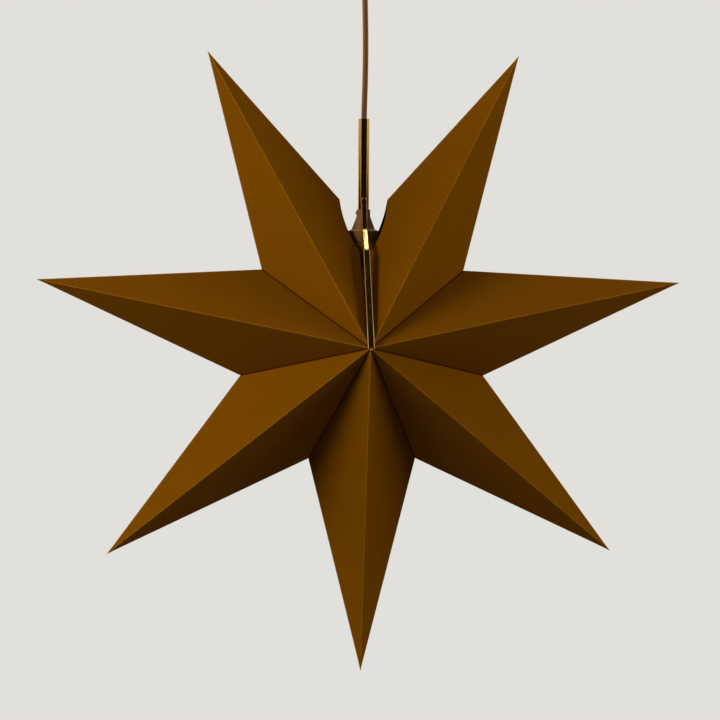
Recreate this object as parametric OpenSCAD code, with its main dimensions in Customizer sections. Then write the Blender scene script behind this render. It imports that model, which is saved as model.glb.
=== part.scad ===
// Seven-pointed folded card star lamp hanging from a ceiling cup, with a brass cord tube
// and two brass legs that carry the star by its front and back centres.
// Origin at the ceiling, the star's front face looks along -Y, millimetres.

/* [Paper star] */
// Radius of the circle through the seven tips
star_r = 300; // [200:5:380]
// Radius of the circle through the outer valley corners
valley_r = 115; // [110:1:125]
// Half of the star's depth, from the middle plane to the front or back centre
half_depth = 76; // [70:1:85]
// Thickness of the card
card = 0.4; // [0.3:0.05:0.8]
// Angle between the two uppermost points, which leaves a narrow slot open behind the rails
top_gap = 56.4; // [54:0.2:60]
// Width of the glued flanges inside the valleys
flange_w = 9; // [6:0.5:12]
// Length of each valley that stays free of flange at its outer corner
flange_end = 10; // [8:1:16]
// Length of each valley that stays free of flange at the centre
flange_start = 8; // [6:1:14]
// Length of each edge of the slot that stays free of its hem, for the lampholder's room
seam_end = 52; // [48:1:60]

/* [Mouth] */
// Width of the mouth that the fittings pass through
mouth_w = 44; // [40:1:48]
// Radius of each curved side of the mouth
mouth_side_r = 94; // [86:1:106]
// Height of the mouth's widest place above the star's centre
mouth_z = 139; // [136:1:142]

/* [Cord tube] */
// Outer diameter of the brass cord tube
tube_d = 10.3; // [9:0.1:12]
// Wall of the cord tube
tube_wall = 0.8; // [0.5:0.1:1.2]
// Height of the tube's upper end above the star's centre
tube_top = 205; // [170:1:260]
// Length of tube held in the lampholder's neck
tube_grip = 9; // [6:0.5:12]

/* [Legs] */
// Width of the brass legs
leg_w = 5.4; // [4:0.1:6]
// Thickness of the brass legs
leg_t = 2.4; // [1.6:0.1:2.8]
// Height of the legs' upper ends above the lampholder's neck
leg_rise = 11; // [10:0.5:16]
// Length of leg that lies along the tube
leg_seat = 6; // [4:0.5:7]
// Height of the legs' lower bend
leg_bend_z = 104; // [103.5:0.5:108]
// Distance of the legs' lower bend from the middle plane
leg_bend_out = 15; // [14.5:0.5:18]
// Length of leg that is pushed into the rail
leg_plug = 12; // [8:1:20]

/* [Rails] */
// Height of the rails' upper ends above the star's centre
rail_top = 86.5; // [83:0.5:92]
// Distance of the rails' upper ends from the middle plane
rail_top_out = 32; // [29:0.5:36]
// Distance that the rail's lower end stands in front of the star's centre
rail_foot_out = 5; // [4.5:0.25:8]
// Depth of the rail's channel
rail_depth = 4.2; // [3.6:0.1:4.6]
// Sheet thickness of the rail
rail_wall = 0.45; // [0.3:0.05:0.8]
// Radius of the rail's rounded corners
rail_corner = 1.4; // [1:0.1:2]
// Play between leg and rail on each side
rail_play = 0.1; // [0.05:0.05:0.3]
// Diameter of the pin that carries the card at each centre
pin_d = 3; // [2:0.1:4]
// Length of the pin inside the star
pin_l = 9; // [6:0.5:14]
// Play between the pin and the hole in the card
pin_play = 0.2; // [0.1:0.05:0.5]

/* [Lampholder] */
// Diameter of the lampholder
holder_d = 27; // [25:0.5:30]
// Diameter of the lampholder's neck
neck_d = 12.4; // [12:0.1:14]
// Height of the neck's upper end above the star's centre
neck_top = 123; // [120:0.5:126]
// Height of the straight part of the neck
neck_h = 6; // [4:0.5:8]
// Height of the cone below the neck
cone_h = 12; // [10:0.5:14]
// Diameter at the foot of the cone
cone_d = 21; // [18:0.5:23]
// Length of the cap's straight skirt
skirt_h = 9; // [7:0.5:12]
// Length of the body below the cap
body_h = 20; // [18:0.5:26]
// Wall of the lampholder's mouldings
holder_wall = 1.6; // [1.2:0.1:2]
// Outer diameter of the threaded lamp shell
shell_d = 15.6; // [15:0.1:17]
// Sheet thickness of the threaded lamp shell
shell_wall = 0.4; // [0.3:0.05:0.6]
// Diameter of the side screw in the neck
side_screw_d = 3.2; // [2.5:0.1:4]

/* [Bulb] */
// Diameter of the glass globe
globe_d = 45; // [35:1:50]
// Length of the whole bulb
bulb_l = 75; // [68:1:85]
// Diameter of the bulb's metal cap
bulb_cap_d = 13.8; // [13:0.1:14]

/* [Cord] */
// Diameter of the round cord
cord_d = 5.2; // [5:0.1:7]

/* [Ceiling cup] */
// Distance from the ceiling down to the star's centre
star_drop = 372; // [360:1:480]
// Diameter of the ceiling cup
cup_d = 80; // [70:1:110]
// Height of the ceiling cup
cup_h = 30; // [28:1:45]
// Wall of the ceiling cup
cup_wall = 1.2; // [0.8:0.1:2]
// Radius of the cup's lower edge
cup_edge_r = 6; // [3:0.5:9]
// Distance between the two ceiling screws
screw_pitch = 46; // [40:1:52]
// Diameter of the holes for the ceiling screws
screw_hole_d = 4.5; // [4:0.1:5.5]
// Width of the mounting bar
bar_w = 14; // [12:0.5:18]
// Thickness of the mounting bar
bar_t = 1.5; // [1:0.1:2.5]
// Diameter of the cup's side screws
cup_screw_d = 4; // [3:0.5:5]
// Outer diameter of the cord grip's collar
grip_collar_d = 15; // [14:0.5:18]
// Diameter of the cord grip's threaded part
grip_d = 10; // [9:0.5:12]
// Height of the cord grip below the cup
grip_h = 8; // [6:0.5:12]

/* [Hidden] */
$fn = 96;

card_brown = [0.48, 0.30, 0.03];
brass = [0.78, 0.57, 0.25];
cream = [0.78, 0.68, 0.55];
steel = [0.7, 0.7, 0.72];
glass_white = [0.93, 0.92, 0.88];

// Angles, clockwise from the top as seen from the front; all seven points are alike
pitch = (360 - top_gap) / 6;
function tip_angle(i) = top_gap / 2 + (i - 1) * pitch;
function left_valley(i) = tip_angle(i) - pitch / 2;
function right_valley(i) = tip_angle(i) + pitch / 2;
function on_circle(angle, r) = [r * sin(angle), 0, r * cos(angle)];
function unit(v) = v / norm(v);

front_centre = [0, -half_depth, 0];
// Outward normal of the front facet between two outline points, the first one further left
function facet_normal(a, b) = unit(cross(b - front_centre, a - front_centre));
// The pole moves this far inwards so that the facets keep the card's thickness
pole_shift = card / abs(facet_normal(on_circle(0, star_r), on_circle(pitch / 2, valley_r))[1]);
// Where an outline point lies on the card's inner side, for the tip and for the two valleys
function inner_valley(p, angle, n) = p - on_circle(angle, 1) * card / (n * on_circle(angle, 1));
function inner_tip(p, na, nb) =
    let (det = na[0] * nb[2] - na[2] * nb[0])
    p - [card * (nb[2] - na[2]) / det, 0, card * (na[0] - nb[0]) / det];

valley_l = norm([valley_r, half_depth]);
pin_hole_d = pin_d + 2 * pin_play;

tube_bottom = neck_top - tube_grip;
tube_bore = tube_d - 2 * tube_wall;

// The legs' and rails' centre lines lie in the middle plane, as distance out and height
leg_cope = 0.5;
leg_out = (tube_d + leg_t) / 2 - leg_cope;
leg_top = neck_top + leg_rise;
rail_foot = [half_depth + rail_foot_out, 0];
rail_head = [rail_top_out, rail_top];
rail_dir = unit(rail_foot - rail_head);
rail_l = norm(rail_foot - rail_head);
rail_slope = atan2(rail_dir[0], -rail_dir[1]);
leg_path = [[leg_out, leg_top], [leg_out, leg_top - leg_seat], [leg_bend_out, leg_bend_z], rail_head,
    rail_head + leg_plug * rail_dir];
rail_w = leg_w + 2 * rail_play + 2 * rail_wall;
rail_face = leg_t / 2 + rail_play + rail_wall;

cone_top = neck_top - neck_h;
shoulder_z = cone_top - cone_h;
shoulder_r = (holder_d - cone_d) / 2;
skirt_bottom = shoulder_z - shoulder_r - skirt_h;
body_bottom = skirt_bottom - body_h;
floor_t = 3;
floor_top = skirt_bottom + 4;
shell_top = floor_top - floor_t;
contact_t = 0.8;
bulb_top = shell_top - contact_t;
block_h = 6;
block_top = floor_top + block_h;

cup_bottom = star_drop - cup_h;
grip_bore = cord_d + 0.3;
nut_h = 5;
connector = [20, 16, 12];
connector_gap = 6;
connector_bottom = cup_bottom + cup_wall + nut_h + connector_gap;

// The cord's route from the connector block down to the terminal block, by hand
cord_rise = connector_bottom - block_top;
cord_route = [[0, 0], [0, 0.1], [0, 0.25], [0, 0.4], [0.3, 0.46], [0.7, 0.52], [1, 0.58], [1.1, 0.64],
    [1, 0.7], [0.7, 0.76], [0.3, 0.82], [0, 0.88], [0, 0.94], [0, 1]];

// One point of the star: four facets folded from one piece of card, with inner glue flanges
module star_point(i) {
    va = left_valley(i);
    vb = right_valley(i);
    a = on_circle(va, valley_r);
    t = on_circle(tip_angle(i), star_r);
    b = on_circle(vb, valley_r);
    na = facet_normal(a, t);
    nb = facet_normal(t, b);
    f = front_centre;
    fi = f + [0, pole_shift, 0];
    pts = [f, -f, a, t, b, fi, -fi, inner_valley(a, va, na), inner_tip(t, na, nb), inner_valley(b, vb, nb)];
    difference() {
        union() {
            polyhedron(pts, [[0, 2, 3], [0, 3, 4], [1, 3, 2], [1, 4, 3], [5, 8, 7], [5, 9, 8], [6, 7, 8],
                [6, 8, 9], [0, 5, 7, 2], [1, 2, 7, 6], [0, 4, 9, 5], [1, 6, 9, 4]]);
            glue_flanges(va, 1, i == 1 ? seam_end : flange_end);
            glue_flanges(vb, -1, i == 7 ? seam_end : flange_end);
        }
        rotate([90, 0, 0])
            cylinder(d = pin_hole_d, h = 4 * half_depth, center = true);
        if (i == 1 || i == 7)
            mouth_cut();
    }
}

// The front and back flanges on one side of a point, glued to the next point's or hemming the slot
module glue_flanges(angle, side, free_end) {
    slope = atan2(half_depth, valley_r);
    root = card / 2;
    for (m = [0, 1])
        mirror([0, m, 0])
            rotate([0, angle, 0])
                translate([side > 0 ? 0 : -card, -half_depth, 0])
                    rotate([90, 0, 90])
                        linear_extrude(card)
                            rotate(90 - slope)
                                polygon([[flange_start, -root], [valley_l - free_end, -root],
                                    [valley_l - free_end - flange_w, -flange_w],
                                    [flange_start + flange_w, -flange_w]]);
}

// The mouth, two arcs that meet in a point above and below, cut through front and back
module mouth_cut() {
    away = mouth_side_r - mouth_w / 2;
    translate([0, 0, mouth_z])
        rotate([90, 0, 0])
            linear_extrude(4 * half_depth, center = true)
                intersection() {
                    translate([-away, 0])
                        circle(r = mouth_side_r);
                    translate([away, 0])
                        circle(r = mouth_side_r);
                }
}

// Brass tube that the cord runs down through
module cord_tube() {
    color(brass)
        translate([0, 0, tube_bottom])
            difference() {
                cylinder(d = tube_d, h = tube_top - tube_bottom);
                translate([0, 0, -1])
                    cylinder(d = tube_bore, h = tube_top - tube_bottom + 2);
            }
}

// Flat bar with round edges, swept along a path of distance out and height
function bar_section(w, t, n) = [for (k = [0:2 * n + 1])
    let (side = k <= n ? 1 : -1, a = (k <= n ? k : k - n - 1) * 180 / n - 90)
    [side * ((w - t) / 2 + t / 2 * cos(a)), side * t / 2 * sin(a)]];
function path_dir(path, k) = unit(path[k + 1] - path[k]);
function path_ring(section, path, k) =
    let (last = len(path) - 1,
        d0 = path_dir(path, max(k - 1, 0)),
        d1 = path_dir(path, min(k, last - 1)),
        d = unit(d0 + d1),
        stretch = 1 / (d * d1))
    [for (s = section) [s[0], -path[k][0] + s[1] * stretch * d[1], path[k][1] + s[1] * stretch * d[0]]];

module swept_bar(section, path) {
    n = len(section);
    rings = [for (k = [0:len(path) - 1]) each path_ring(section, path, k)];
    sides = [for (k = [0:len(path) - 2], j = [0:n - 1])
        [k * n + j, k * n + (j + 1) % n, (k + 1) * n + (j + 1) % n, (k + 1) * n + j]];
    first = [for (j = [n - 1:-1:0]) j];
    end = [for (j = [0:n - 1]) (len(path) - 1) * n + j];
    polyhedron(rings, concat(sides, [first, end]));
}

// One brass leg, coped to the tube at its upper end and pushed into its rail
module leg() {
    color(brass)
        difference() {
            swept_bar(bar_section(leg_w, leg_t, 10), leg_path);
            translate([0, 0, leg_bend_z])
                cylinder(d = tube_d, h = tube_top);
        }
}

// Channel section of a rail, open towards the card, its outer face on the right
module rail_section() {
    difference() {
        translate([rail_face - rail_depth, -rail_w / 2])
            rounded_front(rail_depth, rail_w, rail_corner);
        translate([rail_face - rail_wall - rail_depth, -rail_w / 2 + rail_wall])
            rounded_front(rail_depth, rail_w - 2 * rail_wall, rail_corner - rail_wall);
    }
}

// Rectangle whose two right-hand corners are round
module rounded_front(l, w, r) {
    square([l - r, w]);
    translate([0, r])
        square([l, w - 2 * r]);
    for (y = [r, w - r])
        translate([l - r, y])
            circle(r = r);
}

// One rail: a brass channel from the leg down to the star's centre, with the carrying pin
module rail() {
    color(brass) {
        difference() {
            translate([0, -rail_head[0], rail_head[1]])
                rotate([-rail_slope, 0, 0])
                    rotate([180, 0, 0])
                        linear_extrude(rail_l + rail_depth)
                            rotate(90)
                                rail_section();
            translate([-rail_w, -2 * rail_foot[0], -pin_d - rail_w])
                cube([2 * rail_w, 2 * rail_foot[0], rail_w + pin_d / 2 - 0.2]);
        }
        translate([0, -half_depth + pin_l, 0])
            rotate([90, 0, 0])
                cylinder(d = pin_d, h = pin_l + rail_foot_out + rail_face);
    }
}

// Lampholder cap: neck, cone and skirt, hollow inside
module holder_cap() {
    r = holder_d / 2;
    color(cream)
        difference() {
            rotate_extrude()
                difference() {
                    cap_outline(neck_d / 2, cone_d / 2, r, shoulder_r, neck_top);
                    cap_outline(tube_bore / 2, cone_d / 2 - holder_wall, r - holder_wall,
                        shoulder_r, tube_bottom);
                    translate([0, tube_bottom])
                        square([tube_d / 2, tube_grip + 1]);
                }
            side_screw_place()
                cylinder(d = side_screw_d, h = neck_d);
        }
}

// Half outline of the cap's outside or inside, from the skirt's lower edge up to the neck
module cap_outline(r_neck, r_cone, r_skirt, r_round, top) {
    low = skirt_bottom - (top < neck_top ? 1 : 0);
    drop = top < neck_top ? holder_wall : 0;
    step = r_skirt - r_cone;
    corner = shoulder_z - step - drop;
    polygon([[0, low], [r_skirt, low], [r_skirt, corner], [r_cone, corner],
        [r_cone, shoulder_z - drop], [r_neck, cone_top - drop], [r_neck, top], [0, top]]);
    translate([r_cone, corner])
        intersection() {
            circle(r = min(step, r_round));
            square(r_round + 1);
        }
}

// Where the neck's side screw sits, its axis pointing out of the neck
module side_screw_place() {
    translate([0, 0, neck_top - neck_h / 2])
        rotate([0, -90, 0])
            translate([0, 0, tube_d / 2])
                children();
}

// Small slotted screw that locks the tube in the neck
module side_screw() {
    color(steel)
        side_screw_place()
            difference() {
                cylinder(d = side_screw_d, h = (neck_d - tube_d) / 2 + 0.8);
                translate([-side_screw_d, -0.3, (neck_d - tube_d) / 2 + 0.3])
                    cube([2 * side_screw_d, 0.6, 1]);
            }
}

// Lampholder body with its floor and the lamp opening below
module holder_body() {
    r = holder_d / 2;
    color(cream)
        rotate_extrude()
            difference() {
                polygon([[0, floor_top], [r - holder_wall, floor_top], [r - holder_wall, skirt_bottom],
                    [r, skirt_bottom], [r, body_bottom], [0, body_bottom]]);
                translate([0, body_bottom - 1])
                    square([shell_d / 2, shell_top - body_bottom + 1]);
            }
}

// Threaded metal shell that the bulb screws into, drawn plain
module lamp_shell() {
    color(brass)
        translate([0, 0, body_bottom + 1])
            difference() {
                cylinder(d = shell_d, h = shell_top - body_bottom - 1);
                translate([0, 0, -1])
                    cylinder(d = shell_d - 2 * shell_wall, h = shell_top - body_bottom + 1);
            }
}

// Brass disc that meets the bulb's foot
module centre_contact() {
    color(brass)
        translate([0, 0, bulb_top])
            cylinder(d = shell_d / 3, h = contact_t);
}

// Block that the cord's wires end in, on the holder's floor
module terminal_block() {
    color(cream)
        translate([0, 0, floor_top])
            cylinder(d = cone_d / 2, h = block_h);
}

// Sealed bulb: metal cap, neck and globe in one solid
module bulb() {
    cap_r = bulb_cap_d / 2;
    cap_h = 24;
    globe_r = globe_d / 2;
    globe_z = bulb_top - bulb_l + globe_r;
    neck_z = bulb_top - cap_h - 12;
    color(glass_white) {
        translate([0, 0, globe_z])
            sphere(r = globe_r);
        rotate_extrude()
            polygon([[0, bulb_top], [2.6, bulb_top], [3.4, bulb_top - 2], [cap_r, bulb_top - 5],
                [cap_r, bulb_top - cap_h], [0.55 * globe_r, neck_z], [0.79 * globe_r, globe_z + 0.6 * globe_r],
                [0, globe_z]]);
    }
}

// The cord's rings follow the route, one round ring of twelve corners at each place
module cord() {
    n = 12;
    route = [for (p = cord_route) [p[0], 0, block_top + p[1] * cord_rise]];
    rings = [for (p = route, j = [0:n - 1])
        p + [cord_d / 2 * cos(j * 360 / n), cord_d / 2 * sin(j * 360 / n), 0]];
    sides = [for (k = [0:len(route) - 2], j = [0:n - 1])
        [k * n + j, (k + 1) * n + j, (k + 1) * n + (j + 1) % n, k * n + (j + 1) % n]];
    low = [for (j = [0:n - 1]) j];
    high = [for (j = [n - 1:-1:0]) (len(route) - 1) * n + j];
    color([0.72, 0.6, 0.46])
        polyhedron(rings, concat(sides, [low, high]));
}

// Ceiling cup, open at the top
module ceiling_cup() {
    r = cup_d / 2;
    color(brass)
        difference() {
            rotate_extrude()
                difference() {
                    cup_outline(r, cup_bottom, cup_edge_r);
                    cup_outline(r - cup_wall, cup_bottom + cup_wall, cup_edge_r - cup_wall);
                    translate([0, cup_bottom - 1])
                        square([grip_d / 2, cup_wall + 2]);
                }
            cup_screw_places()
                cylinder(d = cup_screw_d, h = cup_wall + 2, center = true);
        }
}

// Half outline of the cup with a round lower edge
module cup_outline(r, bottom, edge) {
    translate([0, bottom + edge])
        square([r, star_drop - bottom - edge]);
    translate([0, bottom])
        square([r - edge, edge + 1]);
    translate([r - edge, bottom + edge])
        intersection() {
            circle(r = edge);
            translate([0, -edge])
                square(edge);
        }
}

// The cup's two side screws point outwards along X from the cup's wall
module cup_screw_places() {
    for (m = [0, 1])
        mirror([m, 0, 0])
            translate([cup_d / 2 - cup_wall / 2, 0, star_drop - bar_w / 2])
                rotate([0, 90, 0])
                    children();
}

// Steel bar screwed to the ceiling, with two lugs turned down for the cup's screws
module mounting_bar() {
    lug_x = cup_d / 2 - cup_wall;
    color(steel)
        difference() {
            union() {
                translate([-lug_x, -bar_w / 2, star_drop - bar_t])
                    cube([2 * lug_x, bar_w, bar_t]);
                for (m = [0, 1])
                    mirror([m, 0, 0])
                        intersection() {
                            translate([lug_x - bar_t - 1, -bar_w / 2, star_drop - bar_w])
                                cube([bar_t + 1, bar_w, bar_w]);
                            translate([0, 0, star_drop - bar_w])
                                difference() {
                                    cylinder(r = lug_x, h = bar_w);
                                    translate([0, 0, -1])
                                        cylinder(r = lug_x - bar_t, h = bar_w + 2);
                                }
                        }
            }
            for (x = [-screw_pitch / 2, screw_pitch / 2])
                translate([x, 0, star_drop - 2 * bar_t])
                    cylinder(d = screw_hole_d, h = 3 * bar_t);
            cup_screw_places()
                cylinder(d = cup_screw_d, h = 4 * bar_t + cup_wall, center = true);
            translate([0, 0, star_drop - bar_t - 1])
                difference() {
                    cylinder(r = lug_x + 2, h = bar_t + 2);
                    translate([0, 0, -1])
                        cylinder(r = lug_x, h = bar_t + 4);
                }
        }
}

// Two slotted screws that hold the cup on the bar
module cup_screws() {
    head_d = 1.8 * cup_screw_d;
    color(brass)
        cup_screw_places()
            difference() {
                union() {
                    translate([0, 0, -cup_wall / 2 - bar_t])
                        cylinder(d = cup_screw_d, h = cup_wall + bar_t + 0.6);
                    translate([0, 0, cup_wall / 2 + 0.2])
                        cylinder(d = head_d, h = 1.6);
                }
                translate([-head_d, -0.5, cup_wall / 2 + 1.2])
                    cube([2 * head_d, 1, 2]);
            }
}

// Cord grip: a collar under the cup with a threaded neck through the cup's floor
module cord_grip() {
    color(brass)
        translate([0, 0, cup_bottom - grip_h])
            difference() {
                union() {
                    cylinder(d1 = grip_collar_d - 5, d2 = grip_collar_d, h = grip_h - 2);
                    translate([0, 0, grip_h - 2])
                        cylinder(d = grip_collar_d, h = 2);
                    cylinder(d = grip_d, h = grip_h + cup_wall + nut_h + 1);
                }
                translate([0, 0, -1])
                    cylinder(d = grip_bore, h = grip_h + cup_wall + nut_h + 3);
            }
}

// Six-sided nut that holds the cord grip from inside the cup
module grip_nut() {
    color(steel)
        translate([0, 0, cup_bottom + cup_wall])
            difference() {
                cylinder(d = 1.65 * grip_d, h = nut_h, $fn = 6);
                translate([0, 0, -1])
                    cylinder(d = grip_d, h = nut_h + 2);
            }
}

// Connector that joins the cord to the ceiling supply
module connector_block() {
    color(cream)
        translate([-connector[0] / 2, -connector[1] / 2, connector_bottom])
            cube(connector);
}

// Everything is drawn about the star's centre and then hung from the ceiling
module hung() {
    translate([0, 0, -star_drop])
        children();
}

module point_node(i) {
    color(card_brown)
        hung()
            star_point(i);
}

point_node(1);  // point_1
point_node(2);  // point_2
point_node(3);  // point_3
point_node(4);  // point_4
point_node(5);  // point_5
point_node(6);  // point_6
point_node(7);  // point_7
hung() cord_tube();
hung() leg();  // front_leg
hung() mirror([0, 1, 0]) leg();  // back_leg
hung() rail();  // front_rail
hung() mirror([0, 1, 0]) rail();  // back_rail
hung() holder_cap();
hung() holder_body();
hung() lamp_shell();
hung() centre_contact();
hung() terminal_block();
hung() side_screw();
hung() bulb();
hung() cord();
hung() ceiling_cup();
hung() mounting_bar();
hung() cup_screws();
hung() cord_grip();
hung() grip_nut();
hung() connector_block();
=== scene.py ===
import math
import bpy
import bmesh
from mathutils import Matrix, Quaternion, Vector


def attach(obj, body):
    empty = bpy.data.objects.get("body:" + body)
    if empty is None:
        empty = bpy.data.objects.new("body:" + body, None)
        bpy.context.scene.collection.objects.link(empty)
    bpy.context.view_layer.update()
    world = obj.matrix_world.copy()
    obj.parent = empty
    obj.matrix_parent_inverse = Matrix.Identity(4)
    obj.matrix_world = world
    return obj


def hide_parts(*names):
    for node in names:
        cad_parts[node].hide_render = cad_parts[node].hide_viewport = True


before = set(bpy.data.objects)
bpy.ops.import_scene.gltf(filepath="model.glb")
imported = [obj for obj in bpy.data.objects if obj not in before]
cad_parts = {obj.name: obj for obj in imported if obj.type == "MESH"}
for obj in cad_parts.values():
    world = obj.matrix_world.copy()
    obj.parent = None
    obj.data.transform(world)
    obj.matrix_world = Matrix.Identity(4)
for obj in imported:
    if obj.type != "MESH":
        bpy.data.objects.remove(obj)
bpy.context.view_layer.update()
mm = 0.001
starCentre = Vector((0.0, 0.0, -0.372))  # the part hangs from the ceiling at the origin


def say(text):
    print("window star:", text)


# camera and cord
cameraLook = {
    "distance": 1.8,
    "azimuth": -5.39,
    "elevation": 2.74,
    "roll": 0.368,
    "focalLength": 98.77,
    "aside": -0.0022,
    "raise": -0.0138,
}


def placeCamera(look):
    az, el = math.radians(look["azimuth"]), math.radians(look["elevation"])
    back = Vector((math.sin(az) * math.cos(el), -math.cos(az) * math.cos(el), math.sin(el)))
    right = Vector((math.cos(az), math.sin(az), 0.0))
    up = back.cross(right)
    camera = bpy.data.objects.new("photoCamera", bpy.data.cameras.new("photoCamera"))
    camera.data.lens = look["focalLength"]
    camera.data.sensor_width = 36.0
    camera.rotation_mode = "QUATERNION"
    camera.location = starCentre + look["distance"] * back + look["aside"] * right + look["raise"] * up
    turned = (-back).to_track_quat("-Z", "Y") @ Quaternion((0.0, 0.0, 1.0), math.radians(look["roll"]))
    camera.rotation_quaternion = turned
    bpy.context.scene.collection.objects.link(camera)
    bpy.context.scene.camera = camera


placeCamera(cameraLook)


# mesh helpers that every piece uses
def meshObject(name, vertices, faces, smooth=35.0):
    mesh = bpy.data.meshes.new(name)
    mesh.from_pydata([tuple(v) for v in vertices], [], faces)
    mesh.update()
    piece = bpy.data.objects.new(name, mesh)
    bpy.context.scene.collection.objects.link(piece)
    cleanMesh(piece, smooth)
    return piece


def cleanMesh(piece, smooth=35.0):
    work = bmesh.new()
    work.from_mesh(piece.data)
    bmesh.ops.remove_doubles(work, verts=work.verts, dist=1e-6)
    bmesh.ops.recalc_face_normals(work, faces=work.faces)
    work.to_mesh(piece.data)
    work.free()
    piece.data.shade_smooth()
    piece.data.set_sharp_from_angle(angle=math.radians(smooth))


def softCorners(points, radius, steps=4):  # a path in two or three numbers whose inner corners are rounded
    points = [Vector(p) for p in points]
    out = [points[0]]
    for before, corner, after in zip(points, points[1:], points[2:]):
        reach = min(radius, 0.48 * (corner - before).length, 0.48 * (after - corner).length)
        start = corner + (before - corner).normalized() * reach
        end = corner + (after - corner).normalized() * reach
        for k in range(steps + 1):
            w = k / steps
            out.append((1 - w) ** 2 * start + 2 * w * (1 - w) * corner + w * w * end)
    out.append(points[-1])
    return out


def lathe(name, profile, segments=64, closed=False, smooth=35.0):  # profile in mm, radius and height
    rings = [(max(p[0], 0.0) * mm, p[1] * mm) for p in profile]
    vertices = [Vector((r * math.cos(2 * math.pi * j / segments), r * math.sin(2 * math.pi * j / segments),
                        z)) + starCentre for r, z in rings for j in range(segments)]
    count = len(rings)
    faces = []
    for k in range(count if closed else count - 1):
        n = (k + 1) % count
        for j in range(segments):
            i = (j + 1) % segments
            faces.append((k * segments + j, k * segments + i, n * segments + i, n * segments + j))
    return meshObject(name, vertices, faces, smooth)


def sweep(name, sections, smooth=35.0):  # sections are closed rings of points, all of one length
    count = len(sections[0])
    vertices = [p for ring in sections for p in ring]
    faces = [(k * count + j, k * count + (j + 1) % count, (k + 1) * count + (j + 1) % count, (k + 1) * count + j)
             for k in range(len(sections) - 1) for j in range(count)]
    last = (len(sections) - 1) * count
    faces.append(tuple(range(count - 1, -1, -1)))
    faces.append(tuple(range(last, last + count)))
    return meshObject(name, vertices, faces, smooth)


def finishPiece(piece, material, nodes=()):
    piece.data.materials.clear()
    piece.data.materials.append(material)
    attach(piece, "root")
    if nodes:
        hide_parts(*nodes)


# materials
def nodeGroup(name, inputs, outputs):
    tree = bpy.data.node_groups.new(name, "ShaderNodeTree")
    for label, kind, value in inputs:
        socket = tree.interface.new_socket(label, in_out="INPUT", socket_type=kind)
        socket.default_value = value
    for label, kind in outputs:
        tree.interface.new_socket(label, in_out="OUTPUT", socket_type=kind)
    return tree, tree.nodes.new("NodeGroupInput"), tree.nodes.new("NodeGroupOutput")


def addNode(tree, kind, links=None, **settings):
    node = tree.nodes.new(kind)
    for key, value in settings.items():
        setattr(node, key, value)
    for key, value in (links or {}).items():
        if hasattr(value, "is_output"):
            tree.links.new(value, node.inputs[key])
        else:
            node.inputs[key].default_value = value
    return node


def calc(tree, operation, *values, clamp=False):
    return addNode(tree, "ShaderNodeMath", dict(enumerate(values)), operation=operation,
                   use_clamp=clamp).outputs[0]


def vectorCalc(tree, operation, *values):
    links = dict(enumerate(values))
    if operation == "SCALE":
        links = {0: values[0], "Scale": values[1]}
    node = addNode(tree, "ShaderNodeVectorMath", links, operation=operation)
    return node.outputs["Value"] if operation in ("LENGTH", "DOT_PRODUCT", "DISTANCE") else node.outputs[0]


def ramp(tree, value, low, high, outLow=0.0, outHigh=1.0):
    return addNode(tree, "ShaderNodeMapRange", {"Value": value, "From Min": low, "From Max": high,
                                                "To Min": outLow, "To Max": outHigh}).outputs[0]


def mixColour(tree, factor, first, second, blend="MIX"):
    node = addNode(tree, "ShaderNodeMix", data_type="RGBA", blend_type=blend)
    for key, value in ((0, factor), (6, first), (7, second)):
        if hasattr(value, "is_output"):
            tree.links.new(value, node.inputs[key])
        else:
            node.inputs[key].default_value = value
    return node.outputs[2]


def colour(red, green, blue):  # screen colour, 0 to 255, as the linear values that the shaders take
    def straight(c):
        c = c / 255.0
        return c / 12.92 if c < 0.04045 else ((c + 0.055) / 1.055) ** 2.4
    return (straight(red), straight(green), straight(blue), 1.0)


def buildGrainGroup():  # fine mottling and its height, for card, plastic and the cord
    tree, gin, gout = nodeGroup("fineGrain", [("Coordinate", "NodeSocketVector", (0, 0, 0)),
                                              ("Scale", "NodeSocketFloat", 900.0),
                                              ("Contrast", "NodeSocketFloat", 0.5)],
                                [("Mottle", "NodeSocketFloat"), ("Height", "NodeSocketFloat")])
    fine = addNode(tree, "ShaderNodeTexNoise", {"Vector": gin.outputs[0], "Scale": gin.outputs[1],
                                                "Detail": 5.0, "Roughness": 0.65}).outputs[0]
    coarse = addNode(tree, "ShaderNodeTexNoise", {"Vector": gin.outputs[0], "Detail": 3.0,
                                                  "Scale": calc(tree, "MULTIPLY", gin.outputs[1], 0.035),
                                                  }).outputs[0]
    both = calc(tree, "ADD", calc(tree, "MULTIPLY", fine, 0.6), calc(tree, "MULTIPLY", coarse, 0.4))
    shifted = calc(tree, "MULTIPLY", calc(tree, "SUBTRACT", both, 0.5), gin.outputs[2])
    tree.links.new(calc(tree, "ADD", shifted, 0.5, clamp=True), gout.inputs[0])
    tree.links.new(fine, gout.inputs[1])
    return tree


def buildSmudgeGroup():  # roughness that varies with handling marks and fine rubbing
    tree, gin, gout = nodeGroup("smudges", [("Coordinate", "NodeSocketVector", (0, 0, 0)),
                                            ("Clean", "NodeSocketFloat", 0.1),
                                            ("Marked", "NodeSocketFloat", 0.25),
                                            ("Size", "NodeSocketFloat", 60.0)],
                                [("Roughness", "NodeSocketFloat"), ("Marks", "NodeSocketFloat")])
    cloud = addNode(tree, "ShaderNodeTexNoise", {"Vector": gin.outputs[0], "Scale": gin.outputs[3],
                                                 "Detail": 6.0, "Distortion": 0.6}).outputs[0]
    marks = ramp(tree, cloud, 0.42, 0.68)
    rubbed = addNode(tree, "ShaderNodeMapRange", {"Value": marks, "To Min": gin.outputs[1],
                                                  "To Max": gin.outputs[2]}).outputs[0]
    tree.links.new(rubbed, gout.inputs[0])
    tree.links.new(marks, gout.inputs[1])
    return tree


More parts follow.
